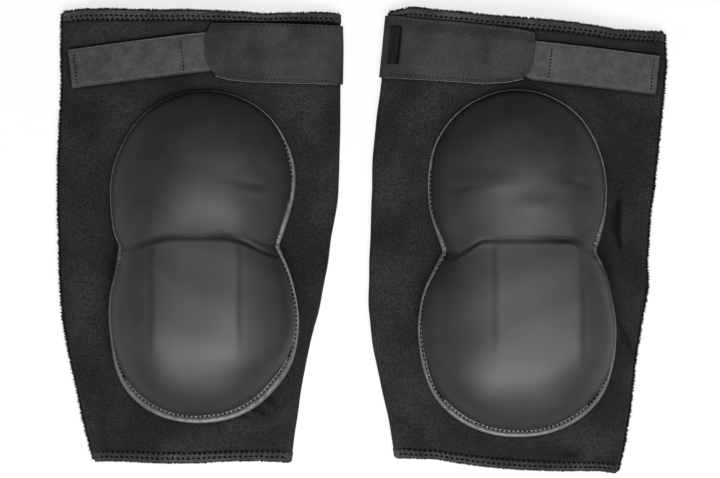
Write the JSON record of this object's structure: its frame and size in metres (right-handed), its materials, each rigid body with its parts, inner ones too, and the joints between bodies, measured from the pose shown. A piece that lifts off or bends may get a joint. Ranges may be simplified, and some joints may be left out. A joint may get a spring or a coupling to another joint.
{
  "type": "pair of elbow pads",
  "caption": "Pair of slip-on elbow pads: stretch sleeves with a stepped two-lobe foam pad and a hook-and-loop arm strap, laid flat.",
  "frame": {"origin": "centre of the pair's footprint, on the surface that it lies on", "axes": "+Z up from the surface; +Y up both sleeves to the upper-arm end; +X from the left pad to the right one, as seen from above"},
  "size_m": [0.3708, 0.2814, 0.0497],
  "materials": {
    "sleeve_laminate": "black knitted nylon over neoprene foam, dull",
    "hem_knit": "dark grey brushed knit, turned in and coverstitched",
    "seam_pile": "fuzzy dark grey seam allowance",
    "backing_cloth": "black lining cloth",
    "pad_foam": "dark grey closed-cell EVA foam",
    "cover_skin": "moulded synthetic leather, black to dark grey, semi-matt",
    "edge_piping": "glossy grey polyurethane binding",
    "tunnel_knit": "dark grey elastic knit with raw grey edges",
    "strap_elastic": "black woven elastic",
    "strap_webbing": "grey woven tape, box stitched",
    "hook_plastic": "black nylon hook tape"
  },
  "bodies": {
    "sleeves_and_pads": {"left_back_panel": "sleeve_laminate", "left_front_panel": "sleeve_laminate", "left_pile_edge": "seam_pile", "left_top_hem": "hem_knit", "left_bottom_hem": "hem_knit", "left_pad_backing": "backing_cloth", "left_upper_foam": "pad_foam", "left_lower_foam": "pad_foam", "left_pad_cover": "cover_skin", "left_edge_binding": "edge_piping", "left_strap_tunnel": "tunnel_knit", "left_strap_elastic": "strap_elastic", "right_back_panel": "sleeve_laminate", "right_front_panel": "sleeve_laminate", "right_pile_edge": "seam_pile", "right_top_hem": "hem_knit", "right_bottom_hem": "hem_knit", "right_pad_backing": "backing_cloth", "right_upper_foam": "pad_foam", "right_lower_foam": "pad_foam", "right_pad_cover": "cover_skin", "right_edge_binding": "edge_piping", "right_strap_tunnel": "tunnel_knit", "right_strap_elastic": "strap_elastic", "right_anchor_patch": "backing_cloth"},
    "left_tail": {"left_strap_tail": "strap_webbing"},
    "left_tab": {"left_strap_tab": "strap_webbing", "left_hook_tape": "hook_plastic"},
    "right_tail": {"right_strap_tail": "strap_webbing"},
    "right_tab": {"right_strap_tab": "strap_webbing", "right_hook_tape": "hook_plastic"}
  },
  "joints": [
    {"name": "left_strap_pull", "type": "slide", "parent": "sleeves_and_pads", "child": "left_tail", "axis": [-0.9932, -0.1167, 0], "range_m": [0, 0.015], "stiffness_N_per_m": 150, "deforming": ["left_strap_elastic"]},
    {"name": "left_tab_peel", "type": "hinge", "parent": "left_tail", "child": "left_tab", "pos_m": [-0.09637, 0.11424, 0.0226], "axis": [-0.1167, 0.9932, 0], "range_deg": [0, 135]},
    {"name": "right_strap_pull", "type": "slide", "parent": "sleeves_and_pads", "child": "right_tail", "axis": [0.9942, -0.108, 0], "range_m": [0, 0.015], "stiffness_N_per_m": 150, "deforming": ["right_strap_elastic"]},
    {"name": "right_tab_peel", "type": "hinge", "parent": "right_tail", "child": "right_tab", "pos_m": [0.10608, 0.10898, 0.0226], "axis": [-0.108, -0.9942, 0], "range_deg": [0, 135]}
  ]
}
